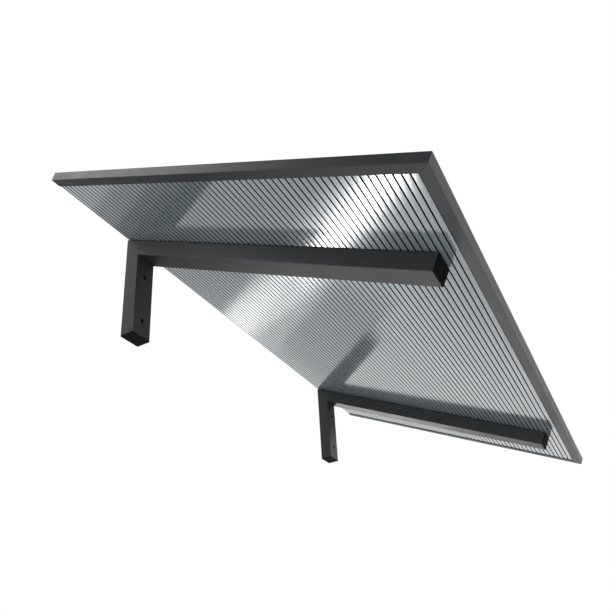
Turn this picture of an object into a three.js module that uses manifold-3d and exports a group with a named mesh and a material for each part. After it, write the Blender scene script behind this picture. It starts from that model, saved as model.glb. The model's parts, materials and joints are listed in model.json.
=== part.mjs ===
// Sloping door canopy: a grooved hollow-chamber panel in a mitred edge frame, carried by two L brackets.
// Millimetres, +Z up. The wall is the plane y = 0 and the canopy reaches out towards -Y.
// The origin is in the wall plane at mid-width, on the rear lower edge of the frame.
import * as THREE from "three";
import { mergeVertices } from "three/addons/utils/BufferGeometryUtils.js";
import Module from "manifold-3d";

const wasm = await Module();
wasm.setup();

// Roof, measured in its own plane
const ROOF_WIDTH = 1600;
const ROOF_DEPTH = 960;
const ROOF_SLOPE_DEG = 26;

// Roof panel
const PANEL_THICKNESS = 16;
const PANEL_SKIN = 1;
const PANEL_WEB = 0.8;
const PANEL_REAR_SETBACK = 2;
const RIB_PITCH = 15.5;
const GROOVE_WIDTH = 3.6;
const GROOVE_ROOF = 2;
const END_TAPE_THICKNESS = 0.6;

// Edge frame: U profiles on the left, front and right edges
const PROFILE_WALL = 1.5;
const PROFILE_FLANGE = 24;
const PROFILE_EDGE_RADIUS = 0.8;
const PANEL_EXPANSION_ROOM = 0.8;
const GASKET_THICKNESS = 1;
const GASKET_SETBACK = 4;
const GASKET_CHAMFER = 0.3;
const CORNER_ANGLE_LEG = 55;
const CORNER_ANGLE_THICKNESS = 3;
const CORNER_ANGLE_ROOM = 1.5;

// Wall brackets of rectangular tube
const BRACKET_INSET = 276;
const TUBE_WIDTH = 60;
const TUBE_DEPTH = 40;
const TUBE_WALL = 2.5;
const TUBE_EDGE_RADIUS = 1.5;
const ARM_SETBACK = 67;
const LEG_DROP = 296;
const WALL_HOLE_DIAMETER = 12;
const WALL_HOLE_UPPER_DROP = 118;
const WALL_HOLE_LOWER_RISE = 48;
const CAP_FLANGE = 2;
const CAP_PLUG_DEPTH = 15;
const CAP_PLUG_WALL = 2;

// Strip between arm and panel, and the screws that hold the panel down
const STRIP_SIDE_MARGIN = 3;
const STRIP_THICKNESS = 1.2;
const STRIP_END_MARGIN = 14;
const SCREWS_PER_ARM = 3;
const SCREW_END_MARGIN = 105;
const SCREW_DIAMETER = 6;
const SCREW_HEAD_WIDTH = 10;
const SCREW_HEAD_HEIGHT = 5;
const SCREW_REACH_BELOW_ARM_TOP = 12;
const SCREW_ROOM_IN_PANEL = 1.2;
const WASHER_DIAMETER = 22;
const WASHER_RIM = 1.4;
const WASHER_HEIGHT = 3;
const WASHER_CROWN_MARGIN = 1.2;

// Clearances
const SEAT_GAP = 0.3;
const MITRE_GAP = 0.3;

// Facets of edge rounds and of full circles
const EDGE_SEGMENTS = 3;
const ROUND_SEGMENTS = 24;
const HEX_SIDES = 6;

// Heights above the roof's underside plane, and insets from its edges
const panelUnderside = PROFILE_WALL + SEAT_GAP;
const panelTop = panelUnderside + PANEL_THICKNESS;
const gasketBottom = panelTop + SEAT_GAP;
const gasketTop = gasketBottom + GASKET_THICKNESS;
const profileHeight = gasketTop + SEAT_GAP + PROFILE_WALL;
const armTop = panelUnderside - STRIP_THICKNESS - 2 * SEAT_GAP;
const armUnderside = armTop - TUBE_DEPTH;
const cornerAngleInset = PROFILE_WALL + SEAT_GAP;
const cornerAngleInside = cornerAngleInset + CORNER_ANGLE_THICKNESS;
const panelInset = cornerAngleInside + PANEL_EXPANSION_ROOM + END_TAPE_THICKNESS + SEAT_GAP;
const panelHalfWidth = ROOF_WIDTH / 2 - panelInset;
const panelFront = ROOF_DEPTH - panelInset;
const bracketCentre = ROOF_WIDTH / 2 - BRACKET_INSET;
const armReach = ROOF_DEPTH - ARM_SETBACK;

const slope = THREE.MathUtils.degToRad(ROOF_SLOPE_DEG);
const quarterTurn = Math.PI / 2;

const coated = new THREE.MeshStandardMaterial({ color: 0x33363a, roughness: 0.45, metalness: 0.3 });
const sheet = new THREE.MeshStandardMaterial({ color: 0x4a5052, roughness: 0.15, metalness: 0 });
const blackPlastic = new THREE.MeshStandardMaterial({ color: 0x101112, roughness: 0.6, metalness: 0 });
const rubber = new THREE.MeshStandardMaterial({ color: 0x161617, roughness: 0.85, metalness: 0 });
const foil = new THREE.MeshStandardMaterial({ color: 0x9fa3a6, roughness: 0.4, metalness: 0.8 });
const aluminium = new THREE.MeshStandardMaterial({ color: 0xa9acaf, roughness: 0.45, metalness: 1 });
const steel = new THREE.MeshStandardMaterial({ color: 0xb4b7ba, roughness: 0.35, metalness: 1 });

function named(name, geometry, material) {
  const mesh = new THREE.Mesh(geometry, material);
  mesh.name = name;
  return mesh;
}

// Cuts and joins
function solidOf(geometry) {
  const bare = geometry.clone();
  bare.deleteAttribute("normal");
  bare.deleteAttribute("uv");
  const merged = mergeVertices(bare);
  return new wasm.Manifold(
    new wasm.Mesh({
      numProp: 3,
      vertProperties: new Float32Array(merged.attributes.position.array),
      triVerts: new Uint32Array(merged.index.array),
    }),
  );
}

function geometryOf(solid) {
  const mesh = solid.getMesh();
  const geometry = new THREE.BufferGeometry();
  geometry.setAttribute("position", new THREE.BufferAttribute(mesh.vertProperties, 3));
  geometry.setIndex(new THREE.BufferAttribute(mesh.triVerts, 1));
  const flat = geometry.toNonIndexed();
  flat.computeVertexNormals();
  return flat;
}

function cut(geometry, tools) {
  let solid = solidOf(geometry);
  for (const tool of tools) solid = solid.subtract(solidOf(tool));
  return geometryOf(solid);
}

function join(first, second) {
  return geometryOf(solidOf(first).add(solidOf(second)));
}

// Outlines
function polygon(points) {
  return new THREE.Shape(points.map(([x, y]) => new THREE.Vector2(x, y)));
}

function rectangle(left, bottom, right, top) {
  return polygon([[left, bottom], [right, bottom], [right, top], [left, top]]);
}

function roundedRectangle(left, bottom, right, top, radius) {
  const outline = new THREE.Shape();
  outline.absarc(right - radius, bottom + radius, radius, -quarterTurn, 0);
  outline.absarc(right - radius, top - radius, radius, 0, quarterTurn);
  outline.absarc(left + radius, top - radius, radius, quarterTurn, 2 * quarterTurn);
  outline.absarc(left + radius, bottom + radius, radius, 2 * quarterTurn, 3 * quarterTurn);
  outline.closePath();
  return outline;
}

// Straight runs of an outline
function extrude(outline, length) {
  return new THREE.ExtrudeGeometry(outline, {
    depth: length,
    bevelEnabled: false,
    curveSegments: EDGE_SEGMENTS,
  });
}

// The outline is drawn in (y, z) and runs along X
function alongWidth(outline, from, to) {
  const turn = new THREE.Matrix4().makeBasis(
    new THREE.Vector3(0, 1, 0),
    new THREE.Vector3(0, 0, 1),
    new THREE.Vector3(1, 0, 0),
  );
  return extrude(outline, to - from).applyMatrix4(turn).translate(from, 0, 0);
}

// The outline is drawn in (x, z) and runs away from the wall, down the slope
function downSlope(outline, from, to) {
  return extrude(outline, to - from).rotateX(quarterTurn).translate(0, -from, 0);
}

// Moves the vertices at one end of a straight run, so that the end becomes a mitre
function skewEnd(geometry, axis, end, shiftAt) {
  const positions = geometry.attributes.position;
  const tolerance = 1e-3;
  const point = new THREE.Vector3();
  for (let i = 0; i < positions.count; i += 1) {
    point.fromBufferAttribute(positions, i);
    if (Math.abs(point[axis] - end) > tolerance) continue;
    point[axis] += shiftAt(point);
    positions.setXYZ(i, point.x, point.y, point.z);
  }
  geometry.computeVertexNormals();
  return geometry;
}

function upright(radius, low, high, x, y, sides = ROUND_SEGMENTS) {
  return new THREE.CylinderGeometry(radius, radius, high - low, sides)
    .rotateX(quarterTurn)
    .translate(x, y, (low + high) / 2);
}

// Roof panel: box chambers in a row under one top skin, with a groove between them in the underside
const chamberCount = Math.floor((panelFront - PANEL_REAR_SETBACK) / RIB_PITCH);
const chambersStart = (panelFront + PANEL_REAR_SETBACK - chamberCount * RIB_PITCH) / 2;
const chamberCentre = (index) => chambersStart + (index + 0.5) * RIB_PITCH;

function panelOutline() {
  const grooveRoof = panelTop - GROOVE_ROOF;
  const points = [[-PANEL_REAR_SETBACK, panelTop], [-PANEL_REAR_SETBACK, panelUnderside]];
  for (let i = 1; i < chamberCount; i += 1) {
    const middle = -(chambersStart + i * RIB_PITCH);
    const near = middle + GROOVE_WIDTH / 2;
    const far = middle - GROOVE_WIDTH / 2;
    points.push([near, panelUnderside], [near, grooveRoof], [far, grooveRoof], [far, panelUnderside]);
  }
  points.push([-panelFront, panelUnderside], [-panelFront, panelTop]);
  const outline = polygon(points);
  const half = (RIB_PITCH - GROOVE_WIDTH) / 2 - PANEL_WEB;
  for (let i = 0; i < chamberCount; i += 1) {
    const y = -chamberCentre(i);
    outline.holes.push(rectangle(y - half, panelUnderside + PANEL_SKIN, y + half, panelTop - PANEL_SKIN));
  }
  return outline;
}

// Each screw goes through the middle of a chamber, so it never meets a web
const screwStep = (armReach - 2 * SCREW_END_MARGIN) / (SCREWS_PER_ARM - 1);
const screwDistances = Array.from({ length: SCREWS_PER_ARM }, (_, i) => {
  const wanted = SCREW_END_MARGIN + i * screwStep;
  return chamberCentre(Math.round((wanted - chambersStart) / RIB_PITCH - 0.5));
});

function roofPanel() {
  const radius = SCREW_DIAMETER / 2 + SCREW_ROOM_IN_PANEL;
  const holes = [];
  for (const x of [-bracketCentre, bracketCentre])
    for (const distance of screwDistances) holes.push(upright(radius, 0, profileHeight, x, -distance));
  return cut(alongWidth(panelOutline(), -panelHalfWidth, panelHalfWidth), holes);
}

// Clearance holes for the screws in what lies under the panel
function screwHoles(low) {
  const radius = SCREW_DIAMETER / 2 + SEAT_GAP;
  return screwDistances.map((distance) => upright(radius, low, panelUnderside, 0, -distance));
}

// Tape over the open chamber ends
function endTape(side) {
  const near = side * (panelHalfWidth + SEAT_GAP);
  const far = near + side * END_TAPE_THICKNESS;
  return downSlope(rectangle(near, panelUnderside, far, panelTop), PANEL_REAR_SETBACK, panelFront);
}

// U section: the web's outer face is at depth 0, the flanges reach in to PROFILE_FLANGE
function profileOutline(place) {
  const inner = profileHeight - PROFILE_WALL;
  const radius = PROFILE_EDGE_RADIUS;
  const points = [[PROFILE_FLANGE, 0], [PROFILE_FLANGE, PROFILE_WALL], [PROFILE_WALL, PROFILE_WALL]];
  points.push([PROFILE_WALL, inner], [PROFILE_FLANGE, inner], [PROFILE_FLANGE, profileHeight]);
  const upperRound = { centre: profileHeight - radius, start: quarterTurn };
  const lowerRound = { centre: radius, start: 2 * quarterTurn };
  for (const { centre, start } of [upperRound, lowerRound])
    for (let i = 0; i <= EDGE_SEGMENTS; i += 1) {
      const angle = start + (i / EDGE_SEGMENTS) * quarterTurn;
      points.push([radius + radius * Math.cos(angle), centre + radius * Math.sin(angle)]);
    }
  return polygon(points.map(([depth, height]) => [place(depth), height]));
}

function sideProfile(side) {
  const edge = (side * ROOF_WIDTH) / 2;
  const run = downSlope(profileOutline((depth) => edge - side * depth), 0, ROOF_DEPTH);
  return skewEnd(run, "y", -ROOF_DEPTH, (point) => Math.abs(edge - point.x) + MITRE_GAP / Math.SQRT2);
}

function frontProfile() {
  const half = ROOF_WIDTH / 2;
  const run = alongWidth(profileOutline((depth) => depth - ROOF_DEPTH), -half, half);
  const inset = (point) => point.y + ROOF_DEPTH + MITRE_GAP / Math.SQRT2;
  skewEnd(run, "x", half, (point) => -inset(point));
  return skewEnd(run, "x", -half, inset);
}

// Gasket strips between the panel's edges and the upper flanges
const gasketInnerInset = PROFILE_FLANGE - GASKET_SETBACK;

function gasketOutline(place) {
  const low = gasketBottom;
  const high = gasketTop;
  const chamfer = Math.min(GASKET_CHAMFER, GASKET_THICKNESS / 3);
  const lip = gasketInnerInset - chamfer;
  const points = [[panelInset, low], [lip, low], [gasketInnerInset, low + chamfer]];
  points.push([gasketInnerInset, high - chamfer], [lip, high], [panelInset, high]);
  return polygon(points.map(([inset, height]) => [place(inset), height]));
}

function sideGasket(side) {
  const outline = gasketOutline((inset) => side * (ROOF_WIDTH / 2 - inset));
  return downSlope(outline, PANEL_REAR_SETBACK, ROOF_DEPTH - gasketInnerInset - SEAT_GAP);
}

function frontGasket() {
  const outline = gasketOutline((inset) => inset - ROOF_DEPTH);
  return alongWidth(outline, -panelHalfWidth, panelHalfWidth);
}

// Angles inside the mitred corners, in the room between the panel's edge and the webs
function cornerAngle(side) {
  const outer = cornerAngleInset;
  const inner = cornerAngleInside;
  const end = outer + CORNER_ANGLE_LEG;
  const points = [[outer, outer], [end, outer], [end, inner], [inner, inner], [inner, end], [outer, end]];
  const placed = points.map(([across, down]) => [side * (ROOF_WIDTH / 2 - across), down - ROOF_DEPTH]);
  const low = PROFILE_WALL + CORNER_ANGLE_ROOM;
  return extrude(polygon(placed), profileHeight - 2 * low).translate(0, 0, low);
}

// Brackets: the mitre halves the angle between the upright leg and the sloping arm
const mitreRatio = Math.tan(Math.PI / 4 + slope / 2);
const mitreRelief = MITRE_GAP / 2 / Math.sin(Math.PI / 4 - slope / 2);
const legTop = armTop / Math.cos(slope);
const armStart = -armTop * Math.tan(slope);

function tubeOutline(low, high) {
  const half = TUBE_WIDTH / 2;
  const outline = roundedRectangle(-half, low, half, high, TUBE_EDGE_RADIUS);
  const bore = half - TUBE_WALL;
  outline.holes.push(rectangle(-bore, low + TUBE_WALL, bore, high - TUBE_WALL));
  return outline;
}

function bracketArm() {
  const run = downSlope(tubeOutline(armUnderside, armTop), armStart, armReach - CAP_FLANGE - SEAT_GAP);
  const arm = skewEnd(run, "y", -armStart, (point) => (point.z - armTop) * mitreRatio - mitreRelief);
  return cut(arm, screwHoles(armTop - 2 * TUBE_WALL));
}

function bracketLeg() {
  const bottom = -LEG_DROP + CAP_FLANGE + SEAT_GAP;
  const run = extrude(tubeOutline(-TUBE_DEPTH, 0), legTop - bottom).translate(0, 0, bottom);
  const leg = skewEnd(run, "z", legTop, (point) => point.y * mitreRatio - mitreRelief);
  const radius = WALL_HOLE_DIAMETER / 2;
  const heights = [-WALL_HOLE_UPPER_DROP, WALL_HOLE_LOWER_RISE - LEG_DROP];
  const drill = new THREE.CylinderGeometry(radius, radius, 2 * TUBE_DEPTH, ROUND_SEGMENTS);
  return cut(leg, heights.map((height) => drill.clone().translate(0, -TUBE_DEPTH / 2, height)));
}

// Cap: a flange that covers the tube's end and a hollow plug that goes into it, along +Z
function tubeCap(low, high) {
  const half = TUBE_WIDTH / 2;
  const flange = extrude(roundedRectangle(-half, low, half, high, TUBE_EDGE_RADIUS), CAP_FLANGE);
  const side = half - TUBE_WALL - SEAT_GAP;
  const bottom = low + TUBE_WALL + SEAT_GAP;
  const top = high - TUBE_WALL - SEAT_GAP;
  const wall = CAP_PLUG_WALL;
  const plug = rectangle(-side, bottom, side, top);
  plug.holes.push(rectangle(wall - side, bottom + wall, side - wall, top - wall));
  const root = CAP_FLANGE / 2;
  return join(flange, extrude(plug, CAP_PLUG_DEPTH + root).translate(0, 0, CAP_FLANGE - root));
}

function legCap() {
  return tubeCap(-TUBE_DEPTH, 0).translate(0, 0, -LEG_DROP);
}

function armCap() {
  return tubeCap(-armTop, -armUnderside).rotateX(-quarterTurn).translate(0, -armReach, 0);
}

function armStrip() {
  const half = TUBE_WIDTH / 2 - STRIP_SIDE_MARGIN;
  const low = armTop + SEAT_GAP;
  const end = armReach - STRIP_END_MARGIN;
  const strip = downSlope(rectangle(-half, low, half, low + STRIP_THICKNESS), STRIP_END_MARGIN, end);
  return cut(strip, screwHoles(armTop));
}

// Panel screws and their sealing washers, standing on the panel's top
const washerBottom = panelTop + SEAT_GAP;
const washerTop = washerBottom + WASHER_HEIGHT;

function sealingWasher(distance) {
  const bore = SCREW_DIAMETER / 2 + SEAT_GAP;
  const rim = WASHER_DIAMETER / 2;
  const crown = SCREW_HEAD_WIDTH / 2 + WASHER_CROWN_MARGIN;
  const section = [[bore, 0], [rim, 0], [rim, WASHER_RIM]];
  section.push([crown, WASHER_HEIGHT], [bore, WASHER_HEIGHT], [bore, 0]);
  const points = section.map(([radius, height]) => new THREE.Vector2(radius, height));
  const washer = new THREE.LatheGeometry(points, ROUND_SEGMENTS);
  return washer.rotateX(quarterTurn).translate(0, -distance, washerBottom);
}

function panelScrew(distance) {
  const seat = washerTop + SEAT_GAP;
  const headRadius = SCREW_HEAD_WIDTH / 2 / Math.cos(Math.PI / HEX_SIDES);
  const head = upright(headRadius, seat, seat + SCREW_HEAD_HEIGHT, 0, -distance, HEX_SIDES);
  const tip = armTop - SCREW_REACH_BELOW_ARM_TOP;
  return join(head, upright(SCREW_DIAMETER / 2, tip, seat + SCREW_HEAD_HEIGHT / 2, 0, -distance));
}

function bracket(sideName, side) {
  const group = new THREE.Group();
  group.position.x = side * bracketCentre;
  group.add(named(`${sideName}_bracket_leg`, bracketLeg(), coated));
  group.add(named(`${sideName}_leg_cap`, legCap(), blackPlastic));
  const inclined = new THREE.Group();
  inclined.rotation.x = slope;
  inclined.add(named(`${sideName}_bracket_arm`, bracketArm(), coated));
  inclined.add(named(`${sideName}_arm_cap`, armCap(), blackPlastic));
  inclined.add(named(`${sideName}_arm_strip`, armStrip(), rubber));
  screwDistances.forEach((distance, i) => {
    inclined.add(named(`${sideName}_panel_screw_${i + 1}`, panelScrew(distance), steel));
    inclined.add(named(`${sideName}_sealing_washer_${i + 1}`, sealingWasher(distance), steel));
  });
  group.add(inclined);
  return group;
}

function roof(sides) {
  const group = new THREE.Group();
  group.rotation.x = slope;
  group.add(named("roof_panel", roofPanel(), sheet));
  group.add(named("front_profile", frontProfile(), coated));
  group.add(named("front_gasket", frontGasket(), rubber));
  for (const [sideName, side] of sides) {
    group.add(named(`${sideName}_gasket`, sideGasket(side), rubber));
    group.add(named(`${sideName}_profile`, sideProfile(side), coated));
    group.add(named(`${sideName}_corner_angle`, cornerAngle(side), aluminium));
    group.add(named(`${sideName}_end_tape`, endTape(side), foil));
  }
  return group;
}

const sides = [["left", -1], ["right", 1]];
const canopy = new THREE.Group();
canopy.name = "door_canopy";
canopy.add(roof(sides));
for (const [sideName, side] of sides) canopy.add(bracket(sideName, side));

export default canopy;
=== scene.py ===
# Sloping door canopy: fine forms, finishes, studio and camera, in metres, +Z up, with the wall at y = 0
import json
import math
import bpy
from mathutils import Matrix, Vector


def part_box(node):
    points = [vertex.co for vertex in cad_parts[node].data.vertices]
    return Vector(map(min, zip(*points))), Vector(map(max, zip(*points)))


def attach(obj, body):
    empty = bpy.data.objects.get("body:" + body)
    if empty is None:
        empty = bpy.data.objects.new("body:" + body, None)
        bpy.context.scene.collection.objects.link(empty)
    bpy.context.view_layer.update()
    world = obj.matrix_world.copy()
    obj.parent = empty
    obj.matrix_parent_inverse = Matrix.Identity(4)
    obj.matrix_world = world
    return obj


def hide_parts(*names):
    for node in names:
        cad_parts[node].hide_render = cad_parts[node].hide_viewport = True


bl_info = {
    "name": "Door Canopy",
    "version": (1, 0, 0),
    "blender": (4, 5, 0),
    "location": "View3D > Sidebar > Canopy",
    "description": "Dresses the fixed frame of a sloping door canopy and sets it in a white studio",
    "category": "Object",
}

import bmesh
import bpy
from bpy.props import FloatProperty, FloatVectorProperty, PointerProperty
from mathutils import Matrix, Vector

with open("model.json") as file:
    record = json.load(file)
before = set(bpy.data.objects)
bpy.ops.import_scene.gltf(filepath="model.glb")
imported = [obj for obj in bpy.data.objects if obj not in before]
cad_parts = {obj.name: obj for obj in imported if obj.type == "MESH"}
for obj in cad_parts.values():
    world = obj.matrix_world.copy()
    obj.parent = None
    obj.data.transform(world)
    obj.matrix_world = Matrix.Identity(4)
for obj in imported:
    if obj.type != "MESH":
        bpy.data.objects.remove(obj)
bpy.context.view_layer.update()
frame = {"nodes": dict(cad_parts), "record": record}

BODY = "root"
SIDES = {"left": -1, "right": 1}
SCREWS_PER_ARM = 3
REARWARD = Vector((0, 1, 0))
UP = Vector((0, 0, 1))
ALL_ROUND = 2 * math.pi
SMOOTH_BELOW = math.radians(32)
TINY = 1e-6
MERGE_WITHIN = 1e-5

# Length of hole cutters, and of the tube ends that are cut off, as a multiple of the thickness there
OVERRUN = 2

# Steps round edges, and sides of round shapes
ROUND_STEPS = 4
LIP_STEPS = 2
CAP_RIM_STEPS = 3
HEAD_STEPS = 2
HEXAGON = 6
HOLE_SIDES = 32
SHANK_SIDES = 24
WASHER_STEPS = 40
FLOOR_SIDES = 96

# Cuts across a rib's crown, as shares of half its width
CROWN_CUTS = (-0.6, -0.3, 0, 0.3, 0.6)

# Rim round the dish in a screw's head, as a share of the width across its flats
DISH_RIM = 1 / 8

# Values of a noise between which colour and gloss change, and the noises' detail
NOISE_LOW, NOISE_HIGH = 0.3, 0.7
GRAIN_DETAIL = 3
PATCH_DETAIL = 4

BLACK = (0, 0, 0, 1)
WHITE = (1, 1, 1, 1)
SENSOR_WIDTH = 36
HALF_UNIT = 0.5

SHEET_GLOSS = {
    "IOR": 1.9,
    "Specular Tint": (0.90, 0.97, 1.0, 1),
    "Coat Weight": 1.0,
    "Coat IOR": 1.6,
    "Coat Roughness": 0.10,
}

SLOT_FINISHES = {
    "frame_coat": "powder_coat",
    "bracket_coat": "powder_coat",
    "panel_sheet": "roof_sheet",
    "cap_plastic": "moulded_plastic",
    "seal_rubber": "black_rubber",
    "bare_aluminium": "mill_aluminium",
    "foil_tape": "sealing_foil",
    "screw_steel": "stainless_steel",
}


def length(name, description, default):
    return FloatProperty(name=name, description=description, default=default, unit="LENGTH", precision=5)


def angle(name, description, degrees):
    return FloatProperty(name=name, description=description, default=math.radians(degrees), subtype="ANGLE")


def amount(name, description, default):
    return FloatProperty(name=name, description=description, default=default)


def colour(name, description, default):
    return FloatVectorProperty(name=name, description=description, default=default, size=3, subtype="COLOR")


def place(name, description, default):
    return FloatVectorProperty(
        name=name, description=description, default=default, size=3, subtype="TRANSLATION"
    )


class CanopySizes(bpy.types.PropertyGroup):
    roof_slope: angle("Roof slope", "Fall of the roof away from the wall", 26)
    rib_pitch: length("Rib pitch", "Distance from groove to groove on the panel's underside", 0.0155)
    groove_width: length("Groove width", "Width of the grooves between the panel's ribs", 0.0036)
    groove_roof: length("Groove roof", "Sheet left above a groove", 0.002)
    panel_skin: length("Panel skin", "Thickness of the panel's upper and lower skins", 0.001)
    panel_web: length("Panel web", "Thickness of the webs between the panel's chambers", 0.0008)
    mouth_round: length("Groove mouth round", "Radius on the lower edges of a rib", 0.0002)
    rib_crown: length("Rib crown", "How far the middle of a rib stands below its edges", 0.0001)
    panel_hole: length("Panel hole", "Diameter of the screw holes in the panel", 0.0084)
    profile_wall: length("Profile wall", "Thickness of the edge profiles", 0.0015)
    profile_round: length("Profile round", "Radius on the outer edges of the edge profiles", 0.001)
    lip_round: length("Lip round", "Radius on the lips of the edge profiles", 0.0003)
    mitre_gap: length("Mitre gap", "Hairline between two profiles at a corner", 0.0003)
    tube_wall: length("Tube wall", "Wall of the bracket tube", 0.0025)
    tube_round: length("Tube round", "Radius on the outer edges of the bracket tube", 0.0015)
    bore_round: length("Bore round", "Radius in the inner corners of the bracket tube", 0.0004)
    arm_hole: length("Arm hole", "Diameter of the screw holes in an arm's top", 0.0066)
    wall_hole: length("Wall hole", "Diameter of the fixing holes in a leg", 0.012)
    upper_hole_drop: length("Upper hole drop", "Depth of the upper fixing hole under the roof edge", 0.118)
    lower_hole_drop: length("Lower hole drop", "Depth of the lower fixing hole under the roof edge", 0.248)
    cap_flange: length("Cap flange", "Thickness of a tube cap outside the tube", 0.002)
    cap_round: length("Cap round", "Radius on the outer rim of a tube cap", 0.0007)
    plug_room: length("Plug room", "Gap between a cap's plug and the tube", 0.0003)
    plug_wall: length("Plug wall", "Wall of a cap's plug", 0.002)
    screw_shank: length("Screw shank", "Diameter of a panel screw", 0.006)
    head_height: length("Head height", "Height of a screw's hexagon head", 0.005)
    head_round: length("Head round", "Radius on the edges of a screw head", 0.0004)
    head_dish: length("Head dish", "Depth of the dish in a screw head's top", 0.0005)
    washer_room: length("Washer room", "Gap between a washer and its screw", 0.0003)
    washer_rubber: length("Washer rubber", "Thickness of the rubber under a washer's steel", 0.0012)
    washer_rim: length("Washer rim", "Height of a washer at its rim", 0.0014)
    washer_crown: length("Washer crown", "Radius of a washer's flat crown", 0.0062)


class CanopyFinish(bpy.types.PropertyGroup):
    coat: colour("Powder coat", "Colour of the coated frame and brackets", (0.026, 0.0275, 0.030))
    sheet: colour("Roof sheet", "Colour of the smoke-grey roof sheet", (0.255, 0.300, 0.329))
    # The groove colour is painted shade: near black so the recesses look dark, though the sheet inside them
    # is the same smoke grey
    groove: colour("Groove", "Colour inside the roof sheet's grooves", (0.006, 0.007, 0.0075))
    plastic: colour("Cap plastic", "Colour of the moulded tube caps", (0.006, 0.006, 0.0065))
    rubber: colour("Rubber", "Colour of the gaskets, strips and washer rubber", (0.012, 0.012, 0.013))
    steel: colour("Steel", "Colour of the screws and washers", (0.56, 0.56, 0.57))
    aluminium: colour("Bare aluminium", "Colour of the corner angles", (0.60, 0.61, 0.62))
    foil: colour("Foil", "Colour of the tape on the panel's ends", (0.66, 0.67, 0.68))
    floor: colour("Floor", "Colour of the studio floor", (0.86, 0.86, 0.86))


class CanopyStudio(bpy.types.PropertyGroup):
    camera_place: place("Camera place", "Where the camera stands", (-1.5277, -1.0243, -1.1496))
    camera_aim: place("Camera aim", "Point that the camera's axis goes through", (0.3968, 0.0, -0.2160))
    camera_roll: angle("Camera roll", "Turn of the camera about its axis", -3.151)
    camera_lens: amount("Lens", "Focal length in millimetres on a 36 mm sensor", 37.40)
    camera_rise: amount("Camera rise", "Upward shift of the picture, as a share of its width", 0.2)
    floor_height: length("Floor height", "Height of the floor, a door's height below the canopy", -2.3)
    floor_reach: length("Floor reach", "Half the width of the floor", 9.0)
    floor_glow: amount("Floor glow", "Light that the floor adds where the camera sees it", 0.4)
    floor_shine: amount("Floor shine", "Light that the floor adds where it is mirrored", 0.22)
    world_level: amount("World level", "Strength of the white surroundings as a light", 0.6)
    lamp_aim: place("Lamp aim", "Point of the canopy that the lamps turn to", (-0.4, -0.4, -0.2))


def sizes():
    return bpy.context.scene.canopy_sizes


def finish():
    return bpy.context.scene.canopy_finish


def studio():
    return bpy.context.scene.canopy_studio


def roof_turn():
    return Matrix.Rotation(sizes().roof_slope, 4, "X")


def roof_box(name):
    """Lowest and highest corner of a node along the roof's axes: across, up the slope, out of the roof."""
    level = roof_turn().inverted()
    corners = [level @ vertex.co for vertex in frame["nodes"][name].data.vertices]
    low = Vector(min(corner[i] for corner in corners) for i in range(3))
    high = Vector(max(corner[i] for corner in corners) for i in range(3))
    return low, high


def level_box(name):
    """Lowest and highest corner of a node along the wall's axes."""
    return [Vector(corner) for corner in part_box(name)]


# Mesh tools
def everything(bm):
    return bm.verts[:] + bm.edges[:] + bm.faces[:]


def outline_face(bm, points):
    return bm.faces.new([bm.verts.new(point) for point in points])


def round_corners(bm, corners, radius, segments):
    bmesh.ops.bevel(
        bm,
        geom=corners,
        offset=radius,
        segments=segments,
        profile=0.5,
        affect="VERTICES",
        material=-1,
    )


def round_edges(bm, edges, radius, segments):
    bmesh.ops.bevel(
        bm,
        geom=edges,
        offset=radius,
        segments=segments,
        profile=0.5,
        affect="EDGES",
        material=-1,
    )


def of_kind(items, kind):
    return [item for item in items if isinstance(item, kind)]


def pull(bm, faces, move):
    """Extrudes faces along a move and returns the faces at the far end."""
    drawn = bmesh.ops.extrude_face_region(bm, geom=faces)["geom"]
    bmesh.ops.translate(bm, verts=of_kind(drawn, bmesh.types.BMVert), vec=move)
    return of_kind(drawn, bmesh.types.BMFace)


def widen(bm, edges, move):
    """Extrudes edges along a move and returns the edges at the far end."""
    drawn = bmesh.ops.extrude_edge_only(bm, edges=edges)["geom"]
    bmesh.ops.translate(bm, verts=of_kind(drawn, bmesh.types.BMVert), vec=move)
    return of_kind(drawn, bmesh.types.BMEdge)


def slice_off(bm, point, normal):
    """Cuts away what lies on the normal's side of a plane and returns the cut edges."""
    cut = bmesh.ops.bisect_plane(
        bm, geom=everything(bm), plane_co=point, plane_no=normal, clear_outer=True
    )
    return of_kind(cut["geom_cut"], bmesh.types.BMEdge)


def cut_across(bm, normal, places):
    """Divides a shape by planes at some distances along a normal."""
    for distance in places:
        bmesh.ops.bisect_plane(bm, geom=everything(bm), plane_co=normal * distance, plane_no=normal)


def merge(bm):
    bmesh.ops.remove_doubles(bm, verts=bm.verts, dist=MERGE_WITHIN)


def lean(bm):
    """Turns a shape from the roof's axes into its place."""
    bmesh.ops.transform(bm, matrix=roof_turn(), verts=bm.verts)


def mesh_object(name, bm, materials):
    bmesh.ops.recalc_face_normals(bm, faces=bm.faces)
    mesh = bpy.data.meshes.new(name)
    bm.to_mesh(mesh)
    bm.free()
    for material in materials:
        mesh.materials.append(bpy.data.materials[material])
    made = bpy.data.objects.new(name, mesh)
    bpy.context.collection.objects.link(made)
    return made


def drill(piece, holes):
    """Bores round holes, each given by its middle, its direction, its length and its diameter."""
    bm = bmesh.new()
    for middle, direction, depth, diameter in holes:
        turn = direction.to_track_quat("Z", "Y").to_matrix().to_4x4()
        bmesh.ops.create_cone(
            bm,
            cap_ends=True,
            segments=HOLE_SIDES,
            radius1=diameter / 2,
            radius2=diameter / 2,
            depth=depth,
            matrix=Matrix.Translation(middle) @ turn,
        )
    cutter = mesh_object(piece.name + "_drill", bm, [])
    boring = piece.modifiers.new("boring", "BOOLEAN")
    boring.operation = "DIFFERENCE"
    boring.solver = "EXACT"
    boring.object = cutter
    bored = bpy.data.meshes.new_from_object(piece.evaluated_get(bpy.context.evaluated_depsgraph_get()))
    piece.modifiers.remove(boring)
    piece.data = bored
    bpy.data.objects.remove(cutter)


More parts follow.
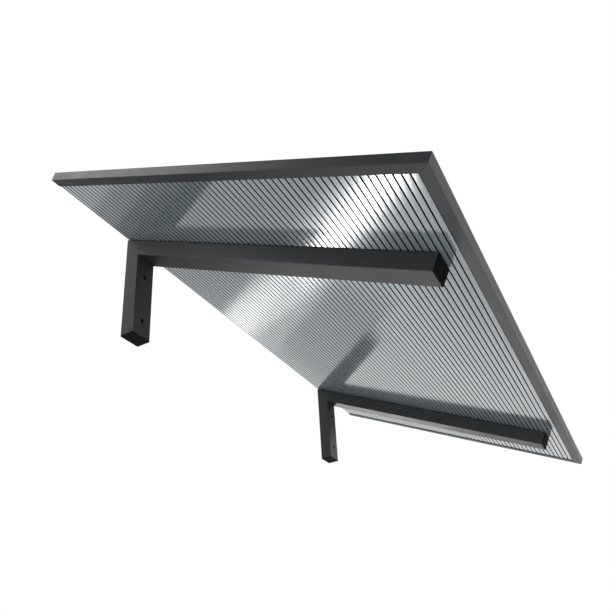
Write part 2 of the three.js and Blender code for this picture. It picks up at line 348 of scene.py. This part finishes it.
def settle(piece, nodes):
    """Smooths a finished piece and fixes it to the body in place of its nodes."""
    piece.data.shade_smooth()
    piece.data.set_sharp_from_angle(angle=SMOOTH_BELOW)
    even = piece.modifiers.new("even_normals", "WEIGHTED_NORMAL")
    even.keep_sharp = True
    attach(piece, BODY)
    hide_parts(*nodes)


def screw_boxes(side):
    """Number, lowest and highest corner of each panel screw of an arm, along the roof's axes."""
    for number in range(1, SCREWS_PER_ARM + 1):
        low, high = roof_box(f"{side}_panel_screw_{number}")
        yield number, low, high


def screw_holes(side, height, depth, diameter):
    """Holes for the panel screws of an arm, with their middle at a height out of the roof."""
    holes = []
    for _, low, high in screw_boxes(side):
        middle = (low + high) / 2
        at = roof_turn() @ Vector((middle.x, middle.y, height))
        holes.append((at, roof_turn() @ UP, depth, diameter))
    return holes


# Surface effects shared by the finishes
def noise(tree, vector, scale, detail):
    texture = tree.nodes.new("ShaderNodeTexNoise")
    texture.inputs["Detail"].default_value = detail
    tree.links.new(vector, texture.inputs["Vector"])
    tree.links.new(scale, texture.inputs["Scale"])
    return texture.outputs["Fac"]


def surface_group():
    """Grain for bump and broad patches for colour and gloss, both from one vector."""
    group = bpy.data.node_groups.new("surface", "ShaderNodeTree")
    group.interface.new_socket("Vector", in_out="INPUT", socket_type="NodeSocketVector")
    for name in ("Grain Scale", "Patch Scale"):
        group.interface.new_socket(name, in_out="INPUT", socket_type="NodeSocketFloat")
    for name in ("Grain", "Patches"):
        group.interface.new_socket(name, in_out="OUTPUT", socket_type="NodeSocketFloat")
    given = group.nodes.new("NodeGroupInput")
    taken = group.nodes.new("NodeGroupOutput")
    fields = (("Grain Scale", "Grain", GRAIN_DETAIL), ("Patch Scale", "Patches", PATCH_DETAIL))
    for scale, result, detail in fields:
        field = noise(group, given.outputs["Vector"], given.outputs[scale], detail)
        group.links.new(field, taken.inputs[result])


def node_material(name):
    """New material with nodes: its tree and its shader."""
    material = bpy.data.materials.new(name)
    material.use_nodes = True
    return material.node_tree, material.node_tree.nodes["Principled BSDF"]


def set_sockets(node, values):
    for name, value in values.items():
        node.inputs[name].default_value = value


def surface_vector(tree, stretch, turned):
    """Object coordinates, turned into the roof's axes where asked, and stretched along a grain."""
    coordinates = tree.nodes.new("ShaderNodeTexCoord")
    mapping = tree.nodes.new("ShaderNodeMapping")
    mapping.inputs["Rotation"].default_value = (-sizes().roof_slope if turned else 0, 0, 0)
    tree.links.new(coordinates.outputs["Object"], mapping.inputs["Vector"])
    scaled = tree.nodes.new("ShaderNodeVectorMath")
    scaled.operation = "MULTIPLY"
    scaled.inputs[1].default_value = stretch
    tree.links.new(mapping.outputs["Vector"], scaled.inputs[0])
    return scaled.outputs["Vector"]


def ranged(tree, value, low, high):
    spread = tree.nodes.new("ShaderNodeMapRange")
    limits = {"From Min": NOISE_LOW, "From Max": NOISE_HIGH, "To Min": low, "To Max": high}
    set_sockets(spread, limits)
    tree.links.new(value, spread.inputs["Value"])
    return spread.outputs["Result"]


def tinted(tree, value, base, spread):
    """Colour that a value moves from a darker to a lighter tone of the base."""
    mix = tree.nodes.new("ShaderNodeMix")
    mix.data_type = "RGBA"
    darker, lighter = (socket for socket in mix.inputs if socket.type == "RGBA")
    darker.default_value = (*(channel * (1 - spread) for channel in base), 1)
    lighter.default_value = (*(channel * (1 + spread) for channel in base), 1)
    tree.links.new(ranged(tree, value, 0, 1), mix.inputs["Factor"])
    return next(socket for socket in mix.outputs if socket.type == "RGBA")


def bumped(tree, shader, height, strength, distance):
    bump = tree.nodes.new("ShaderNodeBump")
    set_sockets(bump, {"Strength": strength, "Distance": distance})
    tree.links.new(height, bump.inputs["Height"])
    tree.links.new(bump.outputs["Normal"], shader.inputs["Normal"])


def finish_material(
    name,
    base,
    gloss,
    grain,
    patches,
    relief,
    strength=0.2,
    spread=0.12,
    metallic=0.0,
    specular=0.5,
    stretch=(1, 1, 1),
    turned=False,
):
    """A finish whose colour and gloss vary in patches over a fine grain."""
    tree, shader = node_material(name)
    surface = tree.nodes.new("ShaderNodeGroup")
    surface.node_tree = bpy.data.node_groups["surface"]
    set_sockets(surface, {"Grain Scale": grain, "Patch Scale": patches})
    tree.links.new(surface_vector(tree, stretch, turned), surface.inputs["Vector"])
    cloud = surface.outputs["Patches"]
    tree.links.new(tinted(tree, cloud, base, spread), shader.inputs["Base Color"])
    tree.links.new(ranged(tree, cloud, *gloss), shader.inputs["Roughness"])
    bumped(tree, shader, surface.outputs["Grain"], strength, relief)
    set_sockets(shader, {"Metallic": metallic, "Specular IOR Level": specular})
    return shader


def sheet_finishes():
    """The glossy grey of the roof sheet, and painted shade in its grooves: a near-black finish with almost
    no gloss.
    """
    sheet = finish_material(
        "roof_sheet",
        finish().sheet,
        gloss=(0.11, 0.15),
        grain=60,
        patches=9,
        relief=0.0006,
        strength=0.004,
        spread=0.06,
        stretch=(0.06, 1, 1),
        turned=True,
    )
    set_sockets(sheet, SHEET_GLOSS)
    # Painted shade for the grooves: near-black colour and almost no specular on the faces inside them
    finish_material(
        "sheet_groove_shade", finish().groove, gloss=(0.5, 0.7), grain=60, patches=9, relief=0.0002, specular=0.05
    )


def coat_and_seal_finishes():
    colours = finish()
    finish_material(
        "powder_coat", colours.coat, gloss=(0.36, 0.44), grain=900, patches=14, relief=0.0002, strength=0.12
    )
    finish_material(
        "moulded_plastic",
        colours.plastic,
        gloss=(0.5, 0.62),
        grain=1400,
        patches=60,
        relief=0.0002,
        strength=0.25,
        specular=0.04,
    )
    finish_material(
        "black_rubber",
        colours.rubber,
        gloss=(0.7, 0.85),
        grain=700,
        patches=40,
        relief=0.0002,
        specular=0.3,
    )


def metal_finishes():
    colours = finish()
    finish_material(
        "mill_aluminium",
        colours.aluminium,
        gloss=(0.35, 0.5),
        grain=300,
        patches=30,
        relief=0.0001,
        metallic=1.0,
    )
    finish_material(
        "sealing_foil", colours.foil, gloss=(0.25, 0.45), grain=160, patches=40, relief=0.0004, metallic=1.0
    )
    finish_material(
        "stainless_steel",
        colours.steel,
        gloss=(0.24, 0.36),
        grain=500,
        patches=120,
        relief=0.0001,
        metallic=1.0,
    )


class CANOPY_OT_finishes(bpy.types.Operator):
    """Makes the finishes and gives every node of the frame the one of its slot"""

    bl_idname = "canopy.finishes"
    bl_label = "Finishes"

    def execute(self, context):
        surface_group()
        sheet_finishes()
        coat_and_seal_finishes()
        metal_finishes()
        for part in frame["record"]["subparts"]:
            node = frame["nodes"][part["node"]]
            node.data.materials.clear()
            node.data.materials.append(bpy.data.materials[SLOT_FINISHES[part["material_slot"]]])
        return {"FINISHED"}


# Roof sheet
def rib_section(bm, x, front, rear, low, high):
    """One rib of the sheet in section, a box chamber with rounded lower edges and a crowned underside."""
    size = sizes()
    face = outline_face(bm, [(x, front, low), (x, rear, low), (x, rear, high), (x, front, high)])
    lower = [vertex for vertex in face.verts if vertex.co.z < low + TINY]
    round_corners(bm, lower, size.mouth_round, ROUND_STEPS)
    floor, ceiling = low + size.panel_skin, high - size.panel_skin
    near_web, far_web = front + size.panel_web, rear - size.panel_web
    middle, half = (front + rear) / 2, (rear - front) / 2
    crown_cuts = [middle + half * share for share in CROWN_CUTS]
    cut_across(bm, REARWARD, (near_web, far_web, *crown_cuts))
    cut_across(bm, UP, (floor, high - size.groove_roof, ceiling))
    hollow = []
    for cell in bm.faces:
        centre = cell.calc_center_median()
        if near_web < centre.y < far_web and floor < centre.z < ceiling:
            hollow.append(cell)
    bmesh.ops.delete(bm, geom=hollow, context="FACES")
    for vertex in bm.verts:
        if vertex.co.z < low + TINY:
            vertex.co.z += size.rib_crown * ((vertex.co.y - middle) / half) ** 2


def side_edges(bm, y, lowest):
    """Upright edges of the section that stand at one place, from a height upwards."""
    chosen = []
    for edge in bm.edges:
        if all(abs(vertex.co.y - y) < TINY and vertex.co.z > lowest - TINY for vertex in edge.verts):
            chosen.append(edge)
    return chosen


def sheet_section(bm, low, high):
    """The sheet in section: ribs with thin roofs over the grooves between them, and a block at each end."""
    size = sizes()
    depth = high.y - low.y
    count = int(depth / size.rib_pitch)
    rib = size.rib_pitch - size.groove_width
    end_block = (depth - count * size.rib_pitch + size.groove_width) / 2
    rear, last = high.y - end_block, low.y + end_block
    rib_section(bm, low.x, rear - rib, rear, low.z, high.z)
    widen(bm, side_edges(bm, rear - rib, high.z - size.groove_roof), -size.groove_width * REARWARD)
    bmesh.ops.spin(
        bm,
        geom=everything(bm),
        dvec=-size.rib_pitch * REARWARD,
        axis=(1, 0, 0),
        cent=(0, 0, 0),
        angle=0,
        steps=count - 1,
        use_duplicate=True,
    )
    merge(bm)
    spare = [face for face in bm.faces if face.calc_center_median().y < last]
    bmesh.ops.delete(bm, geom=spare, context="FACES")
    widen(bm, side_edges(bm, rear, low.z + size.mouth_round), end_block * REARWARD)
    widen(bm, side_edges(bm, last, low.z + size.mouth_round), -end_block * REARWARD)
    merge(bm)


def roof_sheet():
    size = sizes()
    low, high = roof_box("roof_panel")
    bm = bmesh.new()
    sheet_section(bm, low, high)
    pull(bm, bm.faces[:], (high.x - low.x, 0, 0))
    # Faces above the underside, inside the grooves and chambers, get the painted groove shade
    for face in bm.faces:
        centre = face.calc_center_median()
        takes_groove_shade = low.z + size.mouth_round / 2 < centre.z < high.z - TINY
        face.material_index = int(takes_groove_shade and low.y + TINY < centre.y < high.y - TINY)
    lean(bm)
    piece = mesh_object("roof_sheet", bm, ["roof_sheet", "sheet_groove_shade"])
    holes = []
    for side in SIDES:
        holes += screw_holes(side, (low.z + high.z) / 2, OVERRUN * (high.z - low.z), size.panel_hole)
    drill(piece, holes)
    settle(piece, ["roof_panel"])


class CANOPY_OT_roof_sheet(bpy.types.Operator):
    """Models the ribbed roof sheet"""

    bl_idname = "canopy.roof_sheet"
    bl_label = "Roof sheet"

    def execute(self, context):
        roof_sheet()
        return {"FINISHED"}


# Edge profiles
def profile_section(bm, place_at, height, flange):
    """U section: the web stands at inset 0, and the two flanges reach in from it."""
    size = sizes()
    wall = size.profile_wall
    half = [(flange, 0), (flange, wall), (wall, wall)]
    points = half + [(inset, height - z) for inset, z in reversed(half)] + [(0, height), (0, 0)]
    face = outline_face(bm, [place_at(inset, z) for inset, z in points])
    corners = list(zip(points, face.verts))
    outer = [corner for (inset, _), corner in corners if inset == 0]
    lips = [corner for (inset, _), corner in corners if inset == flange]
    round_corners(bm, outer, size.profile_round, ROUND_STEPS)
    round_corners(bm, lips, size.lip_round, LIP_STEPS)


def mitre(bm, corner, normal):
    """Cuts a profile's end at a corner, half the gap short of it, and closes the end."""
    away = Vector(normal).normalized()
    edges = slice_off(bm, Vector(corner) - away * sizes().mitre_gap / 2, away)
    bmesh.ops.contextual_create(bm, geom=edges)


def side_profile(side):
    sign = SIDES[side]
    low, high = roof_box(f"{side}_profile")
    edge = max(low.x, high.x, key=abs)
    front = roof_box("front_profile")[0].y
    bm = bmesh.new()

    def place_at(inset, z):
        return edge - sign * inset, high.y, low.z + z

    profile_section(bm, place_at, high.z - low.z, high.x - low.x)
    pull(bm, bm.faces[:], (front - high.y) * REARWARD)
    mitre(bm, (edge, front, 0), (-sign, -1, 0))
    return bm


def front_profile():
    low, high = roof_box("front_profile")
    reach = roof_box("right_profile")[1].x
    bm = bmesh.new()

    def place_at(inset, z):
        return -reach, low.y + inset, low.z + z

    profile_section(bm, place_at, high.z - low.z, high.y - low.y)
    pull(bm, bm.faces[:], (2 * reach, 0, 0))
    for sign in SIDES.values():
        mitre(bm, (sign * reach, low.y, 0), (sign, 1, 0))
    return bm


class CANOPY_OT_profiles(bpy.types.Operator):
    """Models the three mitred edge profiles"""

    bl_idname = "canopy.profiles"
    bl_label = "Edge profiles"

    def execute(self, context):
        shapes = {side: side_profile(side) for side in SIDES}
        shapes["front"] = front_profile()
        for edge, bm in shapes.items():
            lean(bm)
            piece = mesh_object(f"{edge}_edge_profile", bm, ["powder_coat"])
            settle(piece, [f"{edge}_profile"])
        return {"FINISHED"}


# Brackets
def rounded_loop(bm, points, radius):
    """Ring of edges through some points, with its corners rounded."""
    face = outline_face(bm, points)
    round_corners(bm, list(face.verts), radius, ROUND_STEPS)
    edges = [edge for edge in bm.edges if edge.is_boundary and not edge.tag]
    for edge in edges:
        edge.tag = True
    bmesh.ops.delete(bm, geom=bm.faces[:], context="FACES_ONLY")
    return edges


def tube_run(low, high, start, end, place_at):
    """Rectangular hollow tube: a section between two corners, drawn from a start to an end."""
    size = sizes()
    bm = bmesh.new()
    rings = []
    for inset, radius in ((0, size.tube_round), (size.tube_wall, size.bore_round)):
        near, far = low + Vector((inset, inset)), high - Vector((inset, inset))
        corners = ((near.x, near.y), (far.x, near.y), (far.x, far.y), (near.x, far.y))
        rings += rounded_loop(bm, [place_at(*corner, start) for corner in corners], radius)
    bmesh.ops.bridge_loops(bm, edges=rings)
    pull(bm, bm.faces[:], Vector(place_at(0, 0, end)) - Vector(place_at(0, 0, start)))
    return bm


def join(bm, other):
    """Takes another shape into this one, merged where the two meet."""
    carried = bpy.data.meshes.new("carried")
    other.to_mesh(carried)
    other.free()
    bm.from_mesh(carried)
    bpy.data.meshes.remove(carried)
    merge(bm)


def bracket(side):
    """Arm and leg, cut on one plane through the corner where they meet, and joined there."""
    size = sizes()
    slope = size.roof_slope
    arm_low, arm_high = roof_box(f"{side}_bracket_arm")
    leg_low, leg_high = level_box(f"{side}_bracket_leg")
    overrun = OVERRUN * (leg_high.y - leg_low.y)
    corner_height = (arm_high.z + leg_high.y * math.sin(slope)) / math.cos(slope)
    corner = Vector((0, leg_high.y, corner_height))
    to_leg = Vector((0, math.cos(slope), math.sin(slope) - 1)).normalized()
    bm = tube_run(arm_low.xz, arm_high.xz, arm_low.y, overrun, lambda x, z, y: (x, y, z))
    lean(bm)
    slice_off(bm, corner, to_leg)
    leg = tube_run(leg_low.xy, leg_high.xy, leg_low.z, overrun, lambda x, y, z: (x, y, z))
    slice_off(leg, corner, -to_leg)
    join(bm, leg)
    piece = mesh_object(f"{side}_bracket", bm, ["powder_coat"])
    middle = (leg_low + leg_high) / 2
    holes = []
    for drop in (size.upper_hole_drop, size.lower_hole_drop):
        holes.append(((middle.x, middle.y, -drop), REARWARD, overrun, size.wall_hole))
    holes += screw_holes(side, arm_high.z, 2 * OVERRUN * size.tube_wall, size.arm_hole)
    drill(piece, holes)
    settle(piece, [f"{side}_bracket_arm", f"{side}_bracket_leg"])


class CANOPY_OT_brackets(bpy.types.Operator):
    """Models the two welded brackets"""

    bl_idname = "canopy.brackets"
    bl_label = "Brackets"

    def execute(self, context):
        for side in SIDES:
            bracket(side)
        return {"FINISHED"}


# Tube caps
def cap_shape(low, high, inward):
    """Rounded flange at the low end of a tube, and a hollow plug that goes inward from it."""
    size = sizes()
    spans = high - low
    depth = spans.dot(inward) - size.cap_flange
    flange = spans - inward * depth
    placed = Matrix.Translation(low + flange / 2) @ Matrix.Diagonal((*flange, 1))
    bm = bmesh.new()
    bmesh.ops.create_cube(bm, size=1, matrix=placed)
    bm.normal_update()
    back = [max(bm.faces, key=lambda face: face.normal.dot(inward))]
    corners = []
    for edge in bm.edges:
        start, end = edge.verts
        if abs((start.co - end.co).dot(inward)) > TINY:
            corners.append(edge)
    bmesh.ops.inset_region(bm, faces=back, thickness=size.tube_wall + size.plug_room)
    back = pull(bm, back, inward * depth)
    bmesh.ops.inset_region(bm, faces=back, thickness=size.plug_wall)
    pull(bm, back, -inward * depth)
    round_edges(bm, corners, size.tube_round, ROUND_STEPS)
    front = min(bm.faces, key=lambda face: face.calc_center_median().dot(inward))
    round_edges(bm, list(front.edges), size.cap_round, CAP_RIM_STEPS)
    return bm


class CANOPY_OT_caps(bpy.types.Operator):
    """Models the caps in the open ends of the arms and legs"""

    bl_idname = "canopy.caps"
    bl_label = "Tube caps"

    def execute(self, context):
        for side in SIDES:
            arm = cap_shape(*roof_box(f"{side}_arm_cap"), REARWARD)
            lean(arm)
            leg = cap_shape(*level_box(f"{side}_leg_cap"), UP)
            for run, bm in (("arm", arm), ("leg", leg)):
                piece = mesh_object(f"{side}_{run}_end_cap", bm, ["moulded_plastic"])
                settle(piece, [f"{side}_{run}_cap"])
        return {"FINISHED"}


# Panel screws and sealing washers
def face_height(face):
    return face.calc_center_median().z


def screw_head(bm, seat, flats):
    """Hexagon head with rounded upper edges and a dished top, on a seat, and returns its open lower rim."""
    size = sizes()
    corner_radius = flats / 2 / math.cos(math.pi / HEXAGON)
    placed = Matrix.Translation(seat)
    head = bmesh.ops.create_circle(bm, cap_ends=True, segments=HEXAGON, radius=corner_radius, matrix=placed)
    turn = Matrix.Rotation(math.pi / HEXAGON, 3, "Z")
    bmesh.ops.rotate(bm, verts=head["verts"], cent=seat, matrix=turn)
    pull(bm, bm.faces[:], size.head_height * UP)
    upper = [edge for edge in bm.edges if min(vertex.co.z for vertex in edge.verts) > seat.z + TINY]
    round_edges(bm, upper, size.head_round, HEAD_STEPS)
    lid = max(bm.faces, key=face_height)
    bmesh.ops.inset_region(bm, faces=[lid], thickness=flats * DISH_RIM, depth=-size.head_dish)
    base = min(bm.faces, key=face_height)
    rim = list(base.edges)
    bmesh.ops.delete(bm, geom=[base], context="FACES_ONLY")
    return rim


def screw_shape(low, high):
    size = sizes()
    middle = (low + high) / 2
    seat = Vector((middle.x, middle.y, high.z - size.head_height))
    bm = bmesh.new()
    rim = screw_head(bm, seat, high.x - low.x)
    shank = bmesh.ops.create_circle(
        bm,
        cap_ends=False,
        segments=SHANK_SIDES,
        radius=size.screw_shank / 2,
        matrix=Matrix.Translation(seat),
    )
    ring = list({edge for vertex in shank["verts"] for edge in vertex.link_edges})
    bmesh.ops.bridge_loops(bm, edges=rim + ring)
    tip = widen(bm, ring, (low.z - seat.z) * UP)
    bmesh.ops.contextual_create(bm, geom=tip)
    return bm


def washer_shape(low, high):
    """Dished steel washer with a rubber seal bonded under it."""
    size = sizes()
    middle = (low + high) / 2
    rim = (high.x - low.x) / 2
    bore = size.screw_shank / 2 + size.washer_room
    section = [(bore, 0), (rim, 0), (rim, size.washer_rubber), (rim, size.washer_rim)]
    section += [(size.washer_crown, high.z - low.z), (bore, high.z - low.z), (bore, size.washer_rubber)]
    bm = bmesh.new()
    points = [(middle.x + radius, middle.y, low.z + height) for radius, height in section]
    vertices = [bm.verts.new(point) for point in points]
    edges = [bm.edges.new(pair) for pair in zip(vertices, vertices[1:] + vertices[:1])]
    bmesh.ops.spin(
        bm,
        geom=vertices + edges,
        cent=middle,
        axis=UP,
        angle=ALL_ROUND,
        steps=WASHER_STEPS,
        use_merge=True,
    )
    merge(bm)
    for face in bm.faces:
        face.material_index = int(face_height(face) < low.z + size.washer_rubber)
    return bm


class CANOPY_OT_screws(bpy.types.Operator):
    """Models the panel screws and their sealing washers"""

    bl_idname = "canopy.screws"
    bl_label = "Screws and washers"

    def execute(self, context):
        for side in SIDES:
            for number, low, high in screw_boxes(side):
                bm = screw_shape(low, high)
                lean(bm)
                screw = mesh_object(f"{side}_hex_screw_{number}", bm, ["stainless_steel"])
                settle(screw, [f"{side}_panel_screw_{number}"])
                bm = washer_shape(*roof_box(f"{side}_sealing_washer_{number}"))
                lean(bm)
                materials = ["stainless_steel", "black_rubber"]
                washer = mesh_object(f"{side}_seal_washer_{number}", bm, materials)
                settle(washer, [f"{side}_sealing_washer_{number}"])
        return {"FINISHED"}


# Camera, surroundings and floor
def add_camera():
    settings = studio()
    stand = Vector(settings.camera_place)
    view = Vector(settings.camera_aim) - stand
    turn = view.to_track_quat("-Z", "Y").to_matrix().to_4x4()
    lens = bpy.data.cameras.new("photo_view")
    lens.sensor_width = SENSOR_WIDTH
    lens.lens = settings.camera_lens
    lens.shift_y = settings.camera_rise
    camera = bpy.data.objects.new("photo_view", lens)
    camera.matrix_world = Matrix.Translation(stand) @ turn @ Matrix.Rotation(settings.camera_roll, 4, "Z")
    bpy.context.collection.objects.link(camera)
    bpy.context.scene.camera = camera


def calculate(tree, operation, *values):
    """Math node between values, each a number or another node's socket."""
    node = tree.nodes.new("ShaderNodeMath")
    node.operation = operation
    for socket, value in zip(node.inputs, values):
        if isinstance(value, bpy.types.NodeSocket):
            tree.links.new(value, socket)
        else:
            socket.default_value = value
    return node.outputs["Value"]


def white_world():
    """Surroundings that show as white to the camera, in gloss and in glass, and light less than that."""
    level = studio().world_level
    world = bpy.data.worlds.new("white_studio")
    world.use_nodes = True
    tree = world.node_tree
    background = tree.nodes["Background"]
    background.inputs["Color"].default_value = WHITE
    ray = tree.nodes.new("ShaderNodeLightPath").outputs
    seen = calculate(tree, "MAXIMUM", ray["Is Camera Ray"], ray["Is Glossy Ray"])
    shown = calculate(tree, "MAXIMUM", seen, ray["Is Transmission Ray"])
    strength = calculate(tree, "MULTIPLY_ADD", shown, 1 - level, level)
    tree.links.new(strength, background.inputs["Strength"])
    bpy.context.scene.world = world


def floor_material():
    settings = studio()
    tree, shader = node_material("studio_floor")
    base = (*finish().floor, 1)
    dull = {"Base Color": base, "Roughness": 0.9, "Specular IOR Level": 0.1, "Emission Color": WHITE}
    set_sockets(shader, dull)
    ray = tree.nodes.new("ShaderNodeLightPath").outputs
    mirrored = calculate(tree, "MULTIPLY", ray["Is Glossy Ray"], settings.floor_shine)
    strength = calculate(tree, "MULTIPLY_ADD", ray["Is Camera Ray"], settings.floor_glow, mirrored)
    tree.links.new(strength, shader.inputs["Emission Strength"])


def add_floor():
    settings = studio()
    floor_material()
    bm = bmesh.new()
    placed = Matrix.Translation((0, 0, settings.floor_height))
    bmesh.ops.create_circle(
        bm, cap_ends=True, segments=FLOOR_SIDES, radius=settings.floor_reach, matrix=placed
    )
    mesh_object("studio_floor", bm, ["studio_floor"])


# Cards and lamps
def lamp_aim():
    return Vector(studio().lamp_aim)


def spot_at(heading, rise, distance):
    """Spot round the lamps' aim: heading in degrees from straight behind to the right, rise upwards."""
    turn, lift = math.radians(heading), math.radians(rise)
    direction = (math.sin(turn) * math.cos(lift), math.cos(turn) * math.cos(lift), math.sin(lift))
    return lamp_aim() + distance * Vector(direction)


def card(name, spot, width, height, level):
    """Grey card that only shows in reflections."""
    shader = node_material(name)[1]
    glow = {"Emission Color": WHITE, "Emission Strength": level}
    set_sockets(shader, {"Base Color": BLACK, "Specular IOR Level": 0, **glow})
    turn = (lamp_aim() - spot).to_track_quat("Z", "Y").to_matrix().to_4x4()
    placed = Matrix.Translation(spot) @ turn @ Matrix.Diagonal((width, height, 1, 1))
    bm = bmesh.new()
    bmesh.ops.create_grid(bm, x_segments=1, y_segments=1, size=HALF_UNIT, matrix=placed)
    made = mesh_object(name, bm, [name])
    made.visible_camera = False
    made.visible_diffuse = False
    made.visible_shadow = False
    made.visible_transmission = False


def add_cards():
    left = spot_at(heading=-90, rise=44, distance=4)
    card("left_card", left, width=2.6, height=3.2, level=0.06)
    low_left = spot_at(heading=-56, rise=20, distance=4)
    card("low_left_card", low_left, width=3.2, height=1.8, level=0.2)
    rear = spot_at(heading=26, rise=-2, distance=4)
    card("rear_card", rear, width=2.2, height=2.4, level=0.12)
    side = spot_at(heading=53.4, rise=-2.3, distance=3)
    card("side_card", side, width=0.43, height=0.75, level=0.62)


def gathered(name, pieces):
    """New collection with some pieces in it, for a lamp."""
    group = bpy.data.collections.new(name)
    for piece in pieces:
        group.objects.link(bpy.data.objects[piece])
    return group


def softbox(name, spot, aim, width, height, radiance, lights=()):
    """Rectangular lamp, turned to an aim. Where pieces are named, it lights those alone."""
    lamp = bpy.data.lights.new(name, "AREA")
    lamp.shape = "RECTANGLE"
    lamp.size = width
    lamp.size_y = height
    lamp.energy = radiance * math.pi * width * height
    box = bpy.data.objects.new(name, lamp)
    box.location = spot
    box.rotation_mode = "QUATERNION"
    box.rotation_quaternion = (Vector(aim) - Vector(spot)).to_track_quat("-Z", "Y")
    box.visible_camera = False
    bpy.context.collection.objects.link(box)
    if lights:
        box.light_linking.receiver_collection = gathered(name + "_pieces", lights)
    return box


def strip(name, top, bottom, width, radiance):
    """Narrow lamp between two points that lights the sheet, past the pieces and cards before it."""
    along = Vector(top) - Vector(bottom)
    spot = (Vector(top) + Vector(bottom)) / 2
    lamp = softbox(name, spot, lamp_aim(), width, along.length, radiance, lights=["roof_sheet"])
    upward = along.normalized()
    across = upward.cross(spot - lamp_aim()).normalized()
    facing = across.cross(upward)
    lamp.rotation_quaternion = Matrix((across, upward, facing)).transposed().to_quaternion()
    before = ("left_bracket", "left_arm_end_cap", "rear_card", "low_left_card", "left_card")
    passed = gathered(name + "_passed", before)
    for entry in passed.collection_objects:
        entry.light_linking.link_state = "EXCLUDE"
    lamp.light_linking.blocker_collection = passed


def add_bands():
    """Lamps whose mirror image is the band on the sheet, dim at its rear and bright at its front."""
    rear_top, rear_foot = (2.036, 2.220, 0.255), (2.112, 2.003, -0.625)
    middle_top, front_top = (2.076, 2.038, -0.630), (2.052, 2.004, -0.979)
    front_foot = (1.990, 1.917, -1.875)
    strip("band_rear", rear_top, rear_foot, width=0.28, radiance=0.95)
    strip("band_middle", middle_top, front_top, width=0.15, radiance=11.0)
    strip("band_front", front_top, front_foot, width=0.15, radiance=20.0)


def add_fills():
    """Soft lamps behind the wall that even out the sheet's gloss."""
    fills = (
        {"name": "fill_left", "heading": 15.5, "width": 0.77, "radiance": 0.62},
        {"name": "fill_middle", "heading": 23.2, "width": 0.20, "radiance": 0.28},
        {"name": "fill_right", "heading": 36.3, "width": 1.05, "radiance": 0.45},
    )
    for fill in fills:
        softbox(
            fill["name"],
            spot_at(fill["heading"], rise=0, distance=3.5),
            lamp_aim(),
            width=fill["width"],
            height=2.0,
            radiance=fill["radiance"],
            lights=["roof_sheet"],
        )


def add_lamps():
    """The studio's main lamp overhead, and lamps that pick out the profiles and the brackets."""
    softbox(
        "overhead",
        spot=(0, -0.5, 3.2),
        aim=(0, -0.5, 0),
        width=3.0,
        height=3.0,
        radiance=1.2,
    )
    softbox(
        "rear_left",
        spot_at(heading=-36, rise=46, distance=4),
        lamp_aim(),
        width=1.9,
        height=1.2,
        radiance=3.0,
        lights=["left_edge_profile"],
    )
    softbox(
        "right_rear",
        spot_at(heading=60, rise=0, distance=4),
        lamp_aim(),
        width=1.6,
        height=1.0,
        radiance=1.5,
        lights=["right_bracket", "front_edge_profile"],
    )
    softbox(
        "front_low",
        spot_at(heading=190, rise=-25, distance=3.5),
        lamp_aim(),
        width=2.0,
        height=1.5,
        radiance=4.5,
        lights=["left_bracket", "right_bracket"],
    )
    softbox(
        "low_left",
        spot=(-1.0, -0.1, -0.09),
        aim=(-0.5, -0.15, -0.09),
        width=0.15,
        height=0.15,
        radiance=15.0,
        lights=["left_bracket"],
    )


class CANOPY_OT_stage(bpy.types.Operator):
    """Adds the camera, the white surroundings, the floor, the cards and the lamps"""

    bl_idname = "canopy.stage"
    bl_label = "Stage"

    def execute(self, context):
        context.scene.view_settings.view_transform = "Standard"
        add_camera()
        white_world()
        add_floor()
        add_cards()
        add_bands()
        add_fills()
        add_lamps()
        return {"FINISHED"}


class CANOPY_PT_panel(bpy.types.Panel):
    bl_idname = "CANOPY_PT_panel"
    bl_label = "Door canopy"
    bl_space_type = "VIEW_3D"
    bl_region_type = "UI"
    bl_category = "Canopy"

    def draw(self, context):
        for operator in OPERATORS:
            self.layout.operator(operator.bl_idname)


GROUPS = {"canopy_sizes": CanopySizes, "canopy_finish": CanopyFinish, "canopy_studio": CanopyStudio}
OPERATORS = (
    CANOPY_OT_finishes,
    CANOPY_OT_roof_sheet,
    CANOPY_OT_profiles,
    CANOPY_OT_brackets,
    CANOPY_OT_caps,
    CANOPY_OT_screws,
    CANOPY_OT_stage,
)
CLASSES = (*GROUPS.values(), *OPERATORS, CANOPY_PT_panel)


def register():
    for made in CLASSES:
        bpy.utils.register_class(made)
    for name, group in GROUPS.items():
        setattr(bpy.types.Scene, name, PointerProperty(type=group))


def unregister():
    for name in GROUPS:
        delattr(bpy.types.Scene, name)
    for made in reversed(CLASSES):
        bpy.utils.unregister_class(made)


def main():
    register()
    bpy.ops.canopy.finishes()
    bpy.ops.canopy.roof_sheet()
    bpy.ops.canopy.profiles()
    bpy.ops.canopy.brackets()
    bpy.ops.canopy.caps()
    bpy.ops.canopy.screws()
    bpy.ops.canopy.stage()


if __name__ == "__main__":
    main()
